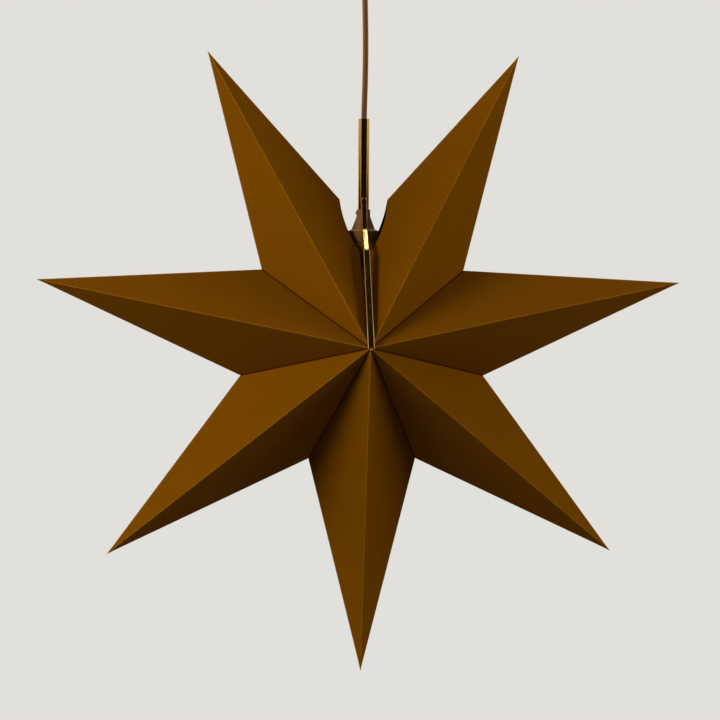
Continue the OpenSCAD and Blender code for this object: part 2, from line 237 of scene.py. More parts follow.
def buildDustGroup():  # a thin fall of dust on what faces up
    tree, gin, gout = nodeGroup("fallenDust", [("Coordinate", "NodeSocketVector", (0, 0, 0)),
                                               ("Amount", "NodeSocketFloat", 0.3)],
                                [("Dust", "NodeSocketFloat")])
    normal = addNode(tree, "ShaderNodeNewGeometry").outputs["Normal"]
    height = addNode(tree, "ShaderNodeSeparateXYZ", {0: normal}).outputs[2]
    facing = ramp(tree, height, 0.55, 0.98)
    spots = addNode(tree, "ShaderNodeTexNoise", {"Vector": gin.outputs[0], "Scale": 420.0,
                                                 "Detail": 4.0}).outputs[0]
    patch = ramp(tree, spots, 0.35, 0.7)
    tree.links.new(calc(tree, "MULTIPLY", calc(tree, "MULTIPLY", facing, patch), gin.outputs[1]), gout.inputs[0])
    return tree


grainGroup, smudgeGroup, dustGroup = buildGrainGroup(), buildSmudgeGroup(), buildDustGroup()


def newMaterial(name):
    material = bpy.data.materials.new(name)
    material.use_nodes = True
    tree = material.node_tree
    shader = next(n for n in tree.nodes if n.type == "BSDF_PRINCIPLED")
    where = addNode(tree, "ShaderNodeTexCoord").outputs["Object"]
    return material, tree, shader, where


def useGroup(tree, group, **values):
    node = tree.nodes.new("ShaderNodeGroup")
    node.node_tree = group
    for key, value in values.items():
        if hasattr(value, "is_output"):
            tree.links.new(value, node.inputs[key])
        else:
            node.inputs[key].default_value = value
    return node.outputs


def addBump(tree, shader, height, distance, strength=1.0):
    bump = addNode(tree, "ShaderNodeBump", {"Height": height, "Distance": distance, "Strength": strength})
    tree.links.new(bump.outputs[0], shader.inputs["Normal"])


cardLook = {
    "lit": colour(131, 78, 1),
    "dark": colour(119, 70, 1),
    # paler card for fibre streaks; on the fold crests it is partly crease wear and partly painted highlight
    "paleFibreAndFoldHighlight": colour(178, 118, 26),
    # painted shade for the valley creases between the points
    "valleyShade": colour(92, 30, 1),
    "nib": colour(205, 150, 70),
    "nibStart": 0.2955,  # metres from the star's centre
    "nibEnd": 0.2985,
    "rough": 0.72,
    "specular": 0.02,
    "dust": 0.04,
}


def makeCard(look):
    material, tree, shader, where = newMaterial("ochreCard")
    grain = useGroup(tree, grainGroup, Coordinate=where, Scale=1400.0, Contrast=1.6)
    stretched = addNode(tree, "ShaderNodeMapping", {"Vector": where, "Scale": (2600.0, 2600.0, 320.0),
                                                    "Rotation": (0.2, 0.35, 0.1)}).outputs[0]
    fibres = addNode(tree, "ShaderNodeTexNoise", {"Vector": stretched, "Scale": 1.0, "Detail": 3.0}).outputs[0]
    base = mixColour(tree, grain["Mottle"], look["dark"], look["lit"])
    base = mixColour(tree, ramp(tree, fibres, 0.56, 0.75, 0.0, 0.16), base, look["paleFibreAndFoldHighlight"])
    folds = addNode(tree, "ShaderNodeUVMap", uv_map="foldMap").outputs[0]
    split = addNode(tree, "ShaderNodeSeparateXYZ", {0: folds})
    patchy = ramp(tree, addNode(tree, "ShaderNodeTexNoise", {"Vector": where, "Scale": 260.0,
                                                             "Detail": 4.0}).outputs[0], 0.3, 0.7, 0.35, 1.0)
    # painted highlight along the fold crests, made patchy like crease wear
    onFold = calc(tree, "MULTIPLY", ramp(tree, split.outputs[0], 0.0011, 0.0002, 0.0, 0.75), patchy)
    base = mixColour(tree, onFold, base, look["paleFibreAndFoldHighlight"])
    # painted shade: a dark red-brown line along the valley creases where the points meet
    base = mixColour(tree, ramp(tree, split.outputs[1], 0.0018, 0.0004, 0.0, 0.85), base, look["valleyShade"])
    reach = vectorCalc(tree, "DISTANCE", where, tuple(starCentre))
    base = mixColour(tree, ramp(tree, reach, look["nibStart"], look["nibEnd"], 0.0, 0.8), base, look["nib"])
    dust = useGroup(tree, dustGroup, Coordinate=where, Amount=look["dust"])["Dust"]
    base = mixColour(tree, dust, base, colour(140, 110, 70))
    tree.links.new(base, shader.inputs["Base Color"])
    rough = ramp(tree, grain["Height"], 0.2, 0.8, look["rough"] - 0.07, look["rough"] + 0.08)
    tree.links.new(rough, shader.inputs["Roughness"])
    shader.inputs["Specular IOR Level"].default_value = look["specular"]
    height = calc(tree, "ADD", grain["Height"], calc(tree, "MULTIPLY", fibres, 0.6))
    addBump(tree, shader, height, 0.00006, 0.6)
    return material


def makeMetal(name, clean, marked, roughness, dustAmount, strokes):
    material, tree, shader, where = newMaterial(name)
    smudge = useGroup(tree, smudgeGroup, Coordinate=where, Clean=roughness[0], Marked=roughness[1], Size=55.0)
    dust = useGroup(tree, dustGroup, Coordinate=where, Amount=dustAmount)["Dust"]
    base = mixColour(tree, smudge["Marks"], clean, marked)
    base = mixColour(tree, dust, base, colour(170, 160, 140))
    tree.links.new(base, shader.inputs["Base Color"])
    tree.links.new(calc(tree, "ADD", smudge["Roughness"], calc(tree, "MULTIPLY", dust, 0.5), clamp=True),
                   shader.inputs["Roughness"])
    shader.inputs["Metallic"].default_value = 1.0
    drawn = addNode(tree, "ShaderNodeMapping", {"Vector": where, "Scale": (3200.0, 3200.0, 60.0)}).outputs[0]
    lines = addNode(tree, "ShaderNodeTexNoise", {"Vector": drawn, "Scale": 1.0, "Detail": 2.0}).outputs[0]
    addBump(tree, shader, lines, 0.00001 * strokes, 0.5)
    return material


def makePlastic(name, pale, deep, roughness, grainScale, dustAmount):
    material, tree, shader, where = newMaterial(name)
    grain = useGroup(tree, grainGroup, Coordinate=where, Scale=grainScale, Contrast=1.2)
    smudge = useGroup(tree, smudgeGroup, Coordinate=where, Clean=roughness[0], Marked=roughness[1], Size=90.0)
    base = mixColour(tree, grain["Mottle"], deep, pale)
    dust = useGroup(tree, dustGroup, Coordinate=where, Amount=dustAmount)["Dust"]
    base = mixColour(tree, dust, base, colour(165, 150, 125))
    tree.links.new(base, shader.inputs["Base Color"])
    tree.links.new(smudge["Roughness"], shader.inputs["Roughness"])
    addBump(tree, shader, grain["Height"], 0.00003, 0.5)
    return material


def makeBulbGlass():
    material, tree, shader, where = newMaterial("frostedGlass")
    grain = useGroup(tree, grainGroup, Coordinate=where, Scale=2200.0, Contrast=0.8)
    base = mixColour(tree, grain["Mottle"], colour(226, 222, 210), colour(240, 238, 230))
    dust = useGroup(tree, dustGroup, Coordinate=where, Amount=0.3)["Dust"]
    base = mixColour(tree, dust, base, colour(180, 168, 146))
    tree.links.new(base, shader.inputs["Base Color"])
    smudge = useGroup(tree, smudgeGroup, Coordinate=where, Clean=0.22, Marked=0.38, Size=45.0)
    tree.links.new(smudge["Roughness"], shader.inputs["Roughness"])
    shader.inputs["Transmission Weight"].default_value = 0.35
    shader.inputs["IOR"].default_value = 1.5
    return material


card = makeCard(cardLook)
brass = makeMetal("polishedBrass", (0.78, 0.47, 0.12, 1.0), (0.66, 0.38, 0.09, 1.0), (0.1, 0.2), 0.12, 2.0)
steel = makeMetal("zincSteel", (0.62, 0.62, 0.63, 1.0), (0.5, 0.5, 0.5, 1.0), (0.25, 0.42), 0.3, 4.0)
cream = makePlastic("creamPlastic", colour(164, 112, 58), colour(146, 98, 48), (0.5, 0.65), 1100.0, 0.15)
sheath = makePlastic("cordSheath", colour(144, 94, 50), colour(130, 83, 42), (0.38, 0.52), 1500.0, 0.1)
frosted = makeBulbGlass()
say("materials made")

cordLook = {
    "low": 103.0,  # top of the terminal block, above the star's centre
    "high": 354.2,  # underside of the ceiling connector
    "width": 5.2,
    "sides": 32,
    "bend": [(0, 0), (0, 0.05), (0, 0.1), (0, 0.25), (0, 0.4), (0.3, 0.46), (0.7, 0.52), (1, 0.58), (1.1, 0.64),
             (1, 0.7), (0.7, 0.76), (0.3, 0.82), (0, 0.88), (0, 0.94), (0, 1)],
}


def makeCord(look):
    rise = look["high"] - look["low"]
    route = [Vector((x * mm, 0.0, (look["low"] + f * rise) * mm)) + starCentre for x, f in look["bend"]]
    fine = softCorners(route, 0.008, 4)
    sections = []
    for p in fine:
        ring = [p + Vector((math.cos(a), math.sin(a), 0.0)) * look["width"] / 2 * mm
                for a in (2 * math.pi * j / look["sides"] for j in range(look["sides"]))]
        sections.append(ring)
    cord = sweep("lampCord", sections)
    length = sum((b - a).length for a, b in zip(route, route[1:]))
    finishPiece(cord, sheath, ["cord"])
    say("cord %.4f m" % length)


makeCord(cordLook)

# folded card points
starLook = {
    "tipRadius": 300.0,
    "valleyRadius": 115.0,
    "halfDepth": 76.0,
    "topGap": 56.4,
    "card": 0.4,
    "foldRadius": 0.9,
    "grooveWidth": 1.2,
    "grooveDepth": 0.55,
    "flangeWidth": 8.6,
    "flangeStart": 8.0,
    "flangeEnd": 10.0,
    "seamEnd": 52.0,
    "foldSteps": 4,
    "sideSteps": 16,
    "rows": 64,
    "ripple": 0.16,
    "pinHole": 3.4,
    "mouthWidth": 44.0,
    "mouthSide": 94.0,
    "mouthHeight": 139.0,
}


def buildPointTree(look):
    tree = bpy.data.node_groups.new("foldedPoint", "GeometryNodeTree")
    sizes = ["Left Valley", "Tip Angle", "Right Valley", "Tip Radius", "Valley Radius", "Half Depth",
             "Fold Radius", "Groove Width", "Groove Depth", "Flange Width", "Flange Start",
             "Left Flange End", "Right Flange End", "Ripple", "Seed"]
    inputs = [(label, "NodeSocketFloat") for label in sizes] + [("Card", "NodeSocketMaterial")]
    for label, kind in inputs:
        tree.interface.new_socket(label, in_out="INPUT", socket_type=kind)
    tree.interface.new_socket("Point", in_out="OUTPUT", socket_type="NodeSocketGeometry")
    gin, gout = tree.nodes.new("NodeGroupInput"), tree.nodes.new("NodeGroupOutput")
    given = {label: gin.outputs[label] for label, kind in inputs}
    foldSteps, sideSteps, rows = look["foldSteps"], look["sideSteps"], look["rows"]
    perSide = foldSteps + sideSteps
    columns = 4 * perSide
    grid = addNode(tree, "GeometryNodeMeshGrid", {"Size X": 1.0, "Size Y": 1.0, "Vertices X": columns + 1,
                                                  "Vertices Y": rows + 2})
    place = addNode(tree, "ShaderNodeSeparateXYZ", {0: addNode(tree, "GeometryNodeInputPosition").outputs[0]})
    column = calc(tree, "ROUND", calc(tree, "MULTIPLY", calc(tree, "ADD", place.outputs[0], 0.5), columns))
    row = calc(tree, "ROUND", calc(tree, "MULTIPLY", calc(tree, "ADD", place.outputs[1], 0.5), rows + 1))

    def polar(angle, radius):
        turned = calc(tree, "RADIANS", angle)
        across = calc(tree, "MULTIPLY", calc(tree, "SINE", turned), radius)
        up = calc(tree, "MULTIPLY", calc(tree, "COSINE", turned), radius)
        return addNode(tree, "ShaderNodeCombineXYZ", {0: across, 2: up}).outputs[0]

    forward = calc(tree, "MULTIPLY", given["Half Depth"], -1.0)
    front = addNode(tree, "ShaderNodeCombineXYZ", {1: forward}).outputs[0]
    rear = addNode(tree, "ShaderNodeCombineXYZ", {1: given["Half Depth"]}).outputs[0]
    leftCorner = polar(given["Left Valley"], given["Valley Radius"])
    rightCorner = polar(given["Right Valley"], given["Valley Radius"])
    tip = polar(given["Tip Angle"], given["Tip Radius"])
    corners = [front, leftCorner, rear, rightCorner]

    # which corner a column belongs to, and how far round the fold or along the side it is
    wrapped = calc(tree, "MODULO", column, columns)
    corner = calc(tree, "FLOOR", calc(tree, "DIVIDE", wrapped, perSide))
    step = calc(tree, "SUBTRACT", wrapped, calc(tree, "MULTIPLY", corner, perSide))
    bend = calc(tree, "DIVIDE", step, foldSteps, clamp=True)
    along = calc(tree, "DIVIDE", calc(tree, "SUBTRACT", step, foldSteps), sideSteps, clamp=True)

    def pick(shift):
        node = tree.nodes.new("GeometryNodeIndexSwitch")
        node.data_type = "VECTOR"
        node.index_switch_items.new()
        node.index_switch_items.new()
        tree.links.new(calc(tree, "MODULO", calc(tree, "ADD", corner, shift), 4), node.inputs[0])
        for k in range(4):
            tree.links.new(corners[k], node.inputs[k + 1])
        return node.outputs[0]

    here, following, previous = pick(0), pick(1), pick(3)

    # rows are close together at the valley and at the tip; row 0 is the glued flange's free edge
    share = calc(tree, "DIVIDE", calc(tree, "MAXIMUM", calc(tree, "SUBTRACT", row, 1.0), 0.0), rows)
    eased = calc(tree, "POWER", share, 1.6)
    level = calc(tree, "SUBTRACT", 1.0, calc(tree, "POWER", calc(tree, "SUBTRACT", 1.0, eased), 1.3))

    def toTip(point):
        return addNode(tree, "ShaderNodeMix", {0: level, 4: point, 5: tip}, data_type="VECTOR").outputs[1]

    foldHere, foldNext, foldPrevious = toTip(here), toTip(following), toTip(previous)
    valleyRoom = calc(tree, "MULTIPLY", given["Valley Radius"], 0.2)
    room = calc(tree, "MULTIPLY", calc(tree, "SUBTRACT", 1.0, level), valleyRoom)
    radius = calc(tree, "MINIMUM", given["Fold Radius"], room)

    def towards(start, end):
        way = vectorCalc(tree, "NORMALIZE", vectorCalc(tree, "SUBTRACT", end, start))
        return vectorCalc(tree, "ADD", start, vectorCalc(tree, "SCALE", way, radius))

    before, after = towards(foldHere, foldPrevious), towards(foldHere, foldNext)
    farEnd = towards(foldNext, foldHere)

    def mixPoints(factor, a, b):
        return addNode(tree, "ShaderNodeMix", {0: factor, 4: a, 5: b}, data_type="VECTOR").outputs[1]

    rounded = mixPoints(bend, mixPoints(bend, before, foldHere), mixPoints(bend, foldHere, after))
    point = mixPoints(along, rounded, farEnd)

    # the direction into the star at each valley, square to the valley and in the plane that two points share
    def inward(a, b):
        run = vectorCalc(tree, "NORMALIZE", vectorCalc(tree, "SUBTRACT", b, a))
        middle = vectorCalc(tree, "SCALE", vectorCalc(tree, "ADD", a, b), 0.5)
        square = vectorCalc(tree, "SUBTRACT", middle,
                            vectorCalc(tree, "SCALE", run, vectorCalc(tree, "DOT_PRODUCT", middle, run)))
        return vectorCalc(tree, "SCALE", vectorCalc(tree, "NORMALIZE", square), -1.0)

    sideways = mixPoints(bend, inward(previous, here), inward(here, following))
    valleyGap = calc(tree, "MULTIPLY", level, vectorCalc(tree, "DISTANCE", tip, here))
    sink = calc(tree, "POWER", ramp(tree, valleyGap, 0.0, given["Groove Width"], 1.0, 0.0), 2.0)
    groove = calc(tree, "MULTIPLY", sink, given["Groove Depth"])
    sideLength = vectorCalc(tree, "DISTANCE", here, following)
    odd = calc(tree, "MODULO", corner, 2)
    fromPole = addNode(tree, "ShaderNodeMix", {0: odd, 2: along, 3: calc(tree, "SUBTRACT", 1.0, along)}).outputs[0]
    run = calc(tree, "MULTIPLY", fromPole, sideLength)
    isRight = calc(tree, "GREATER_THAN", corner, 1.5)
    free = addNode(tree, "ShaderNodeMix", {0: isRight, 2: given["Left Flange End"],
                                           3: given["Right Flange End"]}).outputs[0]
    pastStart = calc(tree, "SUBTRACT", run, given["Flange Start"])
    start = calc(tree, "DIVIDE", pastStart, given["Flange Width"], clamp=True)
    end = calc(tree, "DIVIDE", calc(tree, "SUBTRACT", calc(tree, "SUBTRACT", sideLength, free), run),
               given["Flange Width"], clamp=True)
    isFlange = calc(tree, "LESS_THAN", row, 0.5)
    flange = calc(tree, "MULTIPLY", calc(tree, "MULTIPLY", calc(tree, "MINIMUM", start, end), isFlange),
                  given["Flange Width"])
    point = vectorCalc(tree, "ADD", point,
                       vectorCalc(tree, "SCALE", sideways, calc(tree, "ADD", groove, flange)))

    # a slight ripple of the card, none at the folds and valleys
    wave = addNode(tree, "ShaderNodeTexNoise", {"Vector": point, "W": given["Seed"], "Scale": 16.0, "Detail": 1.0},
                   noise_dimensions="4D").outputs[0]
    sideNow = vectorCalc(tree, "DISTANCE", foldHere, foldNext)
    foldGap = calc(tree, "MULTIPLY", calc(tree, "MINIMUM", along, calc(tree, "SUBTRACT", 1.0, along)), sideNow)
    calm = calc(tree, "MULTIPLY", ramp(tree, foldGap, 0.0, 0.012), ramp(tree, valleyGap, 0.0, 0.02))
    across = vectorCalc(tree, "NORMALIZE", vectorCalc(
        tree, "CROSS_PRODUCT", vectorCalc(tree, "SUBTRACT", foldNext, foldHere),
        vectorCalc(tree, "SUBTRACT", tip, foldHere)))
    lift = calc(tree, "MULTIPLY", calc(tree, "MULTIPLY", calc(tree, "SUBTRACT", wave, 0.5), given["Ripple"]), calm)
    point = vectorCalc(tree, "ADD", point, vectorCalc(tree, "SCALE", across, lift))

    keepFold = addNode(tree, "GeometryNodeStoreNamedAttribute",
                       {"Name": "foldMap"}, data_type="FLOAT2", domain="CORNER")
    tree.links.new(grid.outputs["Mesh"], keepFold.inputs["Geometry"])
    pair = addNode(tree, "ShaderNodeCombineXYZ", {0: foldGap, 1: valleyGap}).outputs[0]
    tree.links.new(pair, keepFold.inputs["Value"])
    setPlace = addNode(tree, "GeometryNodeSetPosition", {"Geometry": keepFold.outputs[0], "Position": point})
    welded = addNode(tree, "GeometryNodeMergeByDistance", {"Geometry": setPlace.outputs[0], "Distance": 0.00003})
    realized = addNode(tree, "GeometryNodeRealizeInstances", {0: welded.outputs[0]})
    painted = addNode(tree, "GeometryNodeSetMaterial", {"Geometry": realized.outputs[0], "Material": given["Card"]})
    tree.links.new(painted.outputs[0], gout.inputs[0])
    return tree


def setInputs(modifier, values):
    for item in modifier.node_group.interface.items_tree:
        if item.item_type == "SOCKET" and item.in_out == "INPUT" and item.name in values:
            modifier[item.identifier] = values[item.name]


def grow(name, tree, values):  # a plain mesh from a Geometry Nodes tree
    start = bpy.data.objects.new(name + "Start", bpy.data.meshes.new(name + "Start"))
    bpy.context.scene.collection.objects.link(start)
    modifier = start.modifiers.new("grow", "NODES")
    modifier.node_group = tree
    setInputs(modifier, values)
    bpy.context.view_layer.update()
    evaluated = start.evaluated_get(bpy.context.evaluated_depsgraph_get())
    mesh = bpy.data.meshes.new_from_object(evaluated)
    start.modifiers.clear()
    bpy.data.objects.remove(start)
    piece = bpy.data.objects.new(name, mesh)
    mesh.name = name
    bpy.context.scene.collection.objects.link(piece)
    return piece


def bake(piece):  # applies the modifiers to the mesh
    mesh = bpy.data.meshes.new_from_object(piece.evaluated_get(bpy.context.evaluated_depsgraph_get()))
    piece.modifiers.clear()
    piece.data = mesh


def prism(name, outline, depth):  # outline in the XZ plane in mm about the star's centre
    count = len(outline)
    vertices = [Vector((x * mm, y * mm, z * mm)) + starCentre for y in (-depth, depth) for x, z in outline]
    faces = [tuple(range(count)), tuple(range(2 * count - 1, count - 1, -1))]
    faces += [(j, (j + 1) % count, count + (j + 1) % count, count + j) for j in range(count)]
    return meshObject(name, vertices, faces)


def makeCutter(look, withMouth):
    hole = [(look["pinHole"] / 2 * math.cos(a), look["pinHole"] / 2 * math.sin(a))
            for a in (2 * math.pi * k / 32 for k in range(32))]
    cutters = [prism("pinHoleCut", hole, 2 * look["halfDepth"])]
    if withMouth:
        away = look["mouthSide"] - look["mouthWidth"] / 2
        reach = math.degrees(math.acos(away / look["mouthSide"]))
        side = [math.radians(-reach + 2 * reach * k / 48) for k in range(49)]
        right = [(look["mouthSide"] * math.cos(a) - away, look["mouthHeight"] + look["mouthSide"] * math.sin(a))
                 for a in side]
        left = [(-x, 2 * look["mouthHeight"] - z) for x, z in right]
        cutters.append(prism("mouthCut", right + left[1:-1], 2 * look["halfDepth"]))
    return cutters


def makePoints(look):
    tree = buildPointTree(look)
    pitch = (360.0 - look["topGap"]) / 6
    made = []
    for i in range(7):
        tipAngle = look["topGap"] / 2 + i * pitch
        values = {"Left Valley": tipAngle - pitch / 2, "Tip Angle": tipAngle, "Right Valley": tipAngle + pitch / 2,
                  "Tip Radius": look["tipRadius"] * mm, "Valley Radius": look["valleyRadius"] * mm,
                  "Half Depth": look["halfDepth"] * mm, "Fold Radius": look["foldRadius"] * mm,
                  "Groove Width": look["grooveWidth"] * mm, "Groove Depth": look["grooveDepth"] * mm,
                  "Flange Width": look["flangeWidth"] * mm, "Flange Start": look["flangeStart"] * mm,
                  "Left Flange End": (look["seamEnd"] if i == 0 else look["flangeEnd"]) * mm,
                  "Right Flange End": (look["seamEnd"] if i == 6 else look["flangeEnd"]) * mm,
                  "Ripple": look["ripple"] * 2 * mm, "Seed": float(i), "Card": card}
        piece = grow("cardPoint%d" % (i + 1), tree, values)
        piece.data.transform(Matrix.Translation(starCentre))
        cleanMesh(piece, 80.0)
        wall = piece.modifiers.new("wall", "SOLIDIFY")
        wall.thickness = look["card"] * mm
        wall.offset = -1.0
        bake(piece)
        cutters = makeCutter(look, i in (0, 6))
        for cutter in cutters:
            cut = piece.modifiers.new(cutter.name, "BOOLEAN")
            cut.operation = "DIFFERENCE"
            cut.solver = "MANIFOLD"
            cut.object = cutter
        bake(piece)
        for cutter in cutters:
            bpy.data.objects.remove(cutter)
        piece.data.shade_smooth()
        piece.data.set_sharp_from_angle(angle=math.radians(50.0))
        finishPiece(piece, card, ["point_%d" % (i + 1)])
        made.append(piece)
    say("points %d, about %d faces each" % (len(made), len(made[2].data.polygons)))


makePoints(starLook)

# brass tube, legs and rails
tubeLook = {"radius": 5.15, "wall": 0.8, "top": 205.0, "bottom": 114.0, "edge": 0.25}


def makeTube(look):
    r, inner, e = look["radius"], look["radius"] - look["wall"], look["edge"]
    profile = [(inner, look["bottom"]), (r - e, look["bottom"]), (r, look["bottom"] + e), (r, look["top"] - e)]
    profile += [(r - e * (1 - math.cos(a)), look["top"] - e + e * math.sin(a)) for a in (0.4, 0.8, 1.2)]
    profile += [(inner + e, look["top"]), (inner, look["top"] - e)]
    tube = lathe("brassTube", profile, 96, closed=True)
    finishPiece(tube, brass, ["cord_tube"])


legLook = {
    "width": 5.4, "thick": 2.4, "seatOut": 5.85, "top": 134.0, "seat": 6.0,
    "bend": (15.0, 104.0), "head": (32.0, 86.5), "foot": (81.0, 0.0), "plug": 12.0, "bendRadius": 2.5,
    "railWidth": 6.5, "railDepth": 4.2, "railWall": 0.45, "railCorner": 1.4, "railFace": 1.75,
    "notch": 2.2, "pin": 3.0, "pinInner": 67.0,
}


def pathFrames(path):  # (place, direction) along a path of distance out and height
    frames = []
    for k, p in enumerate(path):
        a, b = path[max(k - 1, 0)], path[min(k + 1, len(path) - 1)]
        frames.append((p, (b - a).normalized()))
    return frames


def stadium(width, thick, steps=8):
    out = []
    for side in (1, -1):
        for k in range(steps + 1):
            a = -math.pi / 2 + math.pi * k / steps
            out.append((side * ((width - thick) / 2 + thick / 2 * math.cos(a)), side * thick / 2 * math.sin(a)))
    return out


def setOut(across, out, height, side):  # a point from its place across, its distance out and its height
    return Vector((across * mm, -side * out * mm, height * mm)) + starCentre


def makeLeg(look, side, name, node):
    head, foot = Vector(look["head"]), Vector(look["foot"])
    slope = (foot - head).normalized()
    path = [(look["seatOut"], look["top"]), (look["seatOut"], look["top"] - look["seat"]), look["bend"],
            look["head"], tuple(head + look["plug"] * slope)]
    path = softCorners(path, look["bendRadius"], 6)
    lengthened = [path[0] + (path[1] - path[0]).normalized() * look["width"] / 2 * (1 - math.cos(a))
                  for a in (0.15, 0.4, 0.7, 1.0, 1.3)]
    path = lengthened + [p for p in path if (p - path[0]).length > look["width"] / 2]
    sections = []
    for p, d in pathFrames(path):
        back = (p - Vector((look["seatOut"], look["top"]))).length
        part = min(back / (look["width"] / 2), 1.0)
        narrow = math.sqrt(max(1 - (1 - part) ** 2, 0.02))
        width = max(look["width"] * narrow, look["thick"] * 1.02)
        normal = Vector((-d.y, d.x))
        sections.append([setOut(x, p.x + n * normal.x, p.y + n * normal.y, side)
                         for x, n in stadium(width, look["thick"] * (0.6 + 0.4 * narrow))])
    leg = sweep(name, sections)
    finishPiece(leg, brass, [node])


def channelSection(look):  # half round-cornered channel, open towards the card: (across, outward)
    w, depth, wall, r, face = (look["railWidth"] / 2, look["railDepth"], look["railWall"], look["railCorner"],
                               look["railFace"])

    def shell(halfWidth, top, radius):
        arc = [(halfWidth - radius + radius * math.sin(a), top - radius + radius * math.cos(a))
               for a in (math.pi / 2 * (1 - k / 6) for k in range(7))]
        return [(halfWidth, face - depth)] + arc
    outer = shell(w, face, r)
    inner = shell(w - wall, face - wall, r - wall)
    outerAll = outer + [(-x, y) for x, y in reversed(outer)]
    innerAll = [(-x, y) for x, y in inner] + [(x, y) for x, y in reversed(inner)]
    return outerAll + innerAll


def makeRail(look, side, name, node):
    head, foot = Vector(look["head"]), Vector(look["foot"])
    d = (foot - head).normalized()
    normal = Vector((-d.y, d.x))
    length = (foot - head).length
    section = channelSection(look)
    stops = [0.0, 0.4, 2.4, 5.0, 12.0, 30.0, 60.0, 90.0, length - 2.0, length + 0.6]
    sections = []
    for s in stops:
        ring = []
        for x, n in section:
            dip = look["notch"] * (1 - (2 * x / look["railWidth"]) ** 2) if s < 3.0 and n > 0 else 0.0
            p = head + d * (s + max(dip, 0.0)) + normal * n
            ring.append(setOut(x, p.x, p.y, side))
        sections.append(ring)
    rail = sweep(name, sections, 40.0)
    pinRadius, pinInner = look["pin"] / 2, look["pinInner"]
    profile = [(0, pinInner), (pinRadius - 0.3, pinInner), (pinRadius, pinInner + 0.4),
               (pinRadius, foot.x + 0.9), (pinRadius - 0.5, foot.x + 1.5), (0, foot.x + 1.7)]
    pin = lathe(name + "Pin", profile, 32)
    turn = Matrix.Rotation(math.radians(90.0 * side), 4, "X")
    pin.data.transform(Matrix.Translation(starCentre) @ turn @ Matrix.Translation(-starCentre))
    mergePieces(rail, [pin])
    finishPiece(rail, brass, [node])


def mergePieces(piece, others):
    work = bmesh.new()
    work.from_mesh(piece.data)
    for other in others:
        work.from_mesh(other.data)
        bpy.data.objects.remove(other)
    work.to_mesh(piece.data)
    work.free()
    piece.data.shade_smooth()
    piece.data.set_sharp_from_angle(angle=math.radians(40.0))


makeTube(tubeLook)
makeLeg(legLook, 1, "frontLeg", "front_leg")
makeLeg(legLook, -1, "backLeg", "back_leg")
makeRail(legLook, 1, "frontRail", "front_rail")
makeRail(legLook, -1, "backRail", "back_rail")
say("tube, legs and rails made")

# lampholder and bulb
holderLook = {
    "neckRadius": 6.2, "tubeRadius": 5.15, "boreRadius": 4.35, "neckTop": 123.0, "coneTop": 117.0,
    "shoulder": 105.0, "coneRadius": 10.5, "radius": 13.5, "skirtBottom": 93.0, "bodyBottom": 73.0,
    "wall": 1.6, "tubeBottom": 114.0, "ribs": 30, "shellRadius": 7.8, "floorTop": 97.0, "floorLow": 94.0,
}


def makeHolder(look):
    outer = [(look["tubeRadius"] + 0.02, look["neckTop"]), (look["neckRadius"], look["neckTop"]),
             (look["neckRadius"], look["coneTop"]), (look["coneRadius"], look["shoulder"]),
             (look["radius"], look["shoulder"] - 1.2), (look["radius"], look["skirtBottom"] + 0.15),
             (look["radius"] - look["wall"], look["skirtBottom"] + 0.15)]
    inner = [(look["radius"] - look["wall"], look["shoulder"] - 4.0),
             (look["coneRadius"] - look["wall"], look["shoulder"] - 2.6),
             (look["boreRadius"], look["coneTop"] - 1.6), (look["boreRadius"], look["tubeBottom"]),
             (look["tubeRadius"] + 0.02, look["tubeBottom"])]
    profile = softCorners(outer + inner, 0.9, 4)
    cap = lathe("holderCap", [(p.x, p.y) for p in profile], 96, closed=True)
    finishPiece(cap, cream, ["holder_cap"])
    joint = look["skirtBottom"] - 0.05
    inside, outside = look["radius"] - look["wall"] - 0.05, look["radius"] - 0.05
    bodyProfile = [(0, look["floorTop"] - 0.1), (inside, look["floorTop"] - 0.1), (inside, joint),
                   (outside, joint), (outside, look["bodyBottom"]), (look["shellRadius"], look["bodyBottom"]),
                   (look["shellRadius"], look["floorLow"]), (0, look["floorLow"])]
    body = lathe("holderBody", [(p.x, p.y) for p in softCorners(bodyProfile, 0.6, 3)], 96)
    ribs = grow("holderRibs", buildRingTree(), {"Count": look["ribs"], "Radius": (look["radius"] - 0.25) * mm,
                                                "Bottom": (look["bodyBottom"] + 1.2) * mm,
                                                "Top": (look["skirtBottom"] - 2.0) * mm,
                                                "Width": 0.55 * mm, "Finish": cream})
    ribs.data.transform(Matrix.Translation(starCentre))
    mergePieces(body, [ribs])
    finishPiece(body, cream, ["holder_body"])


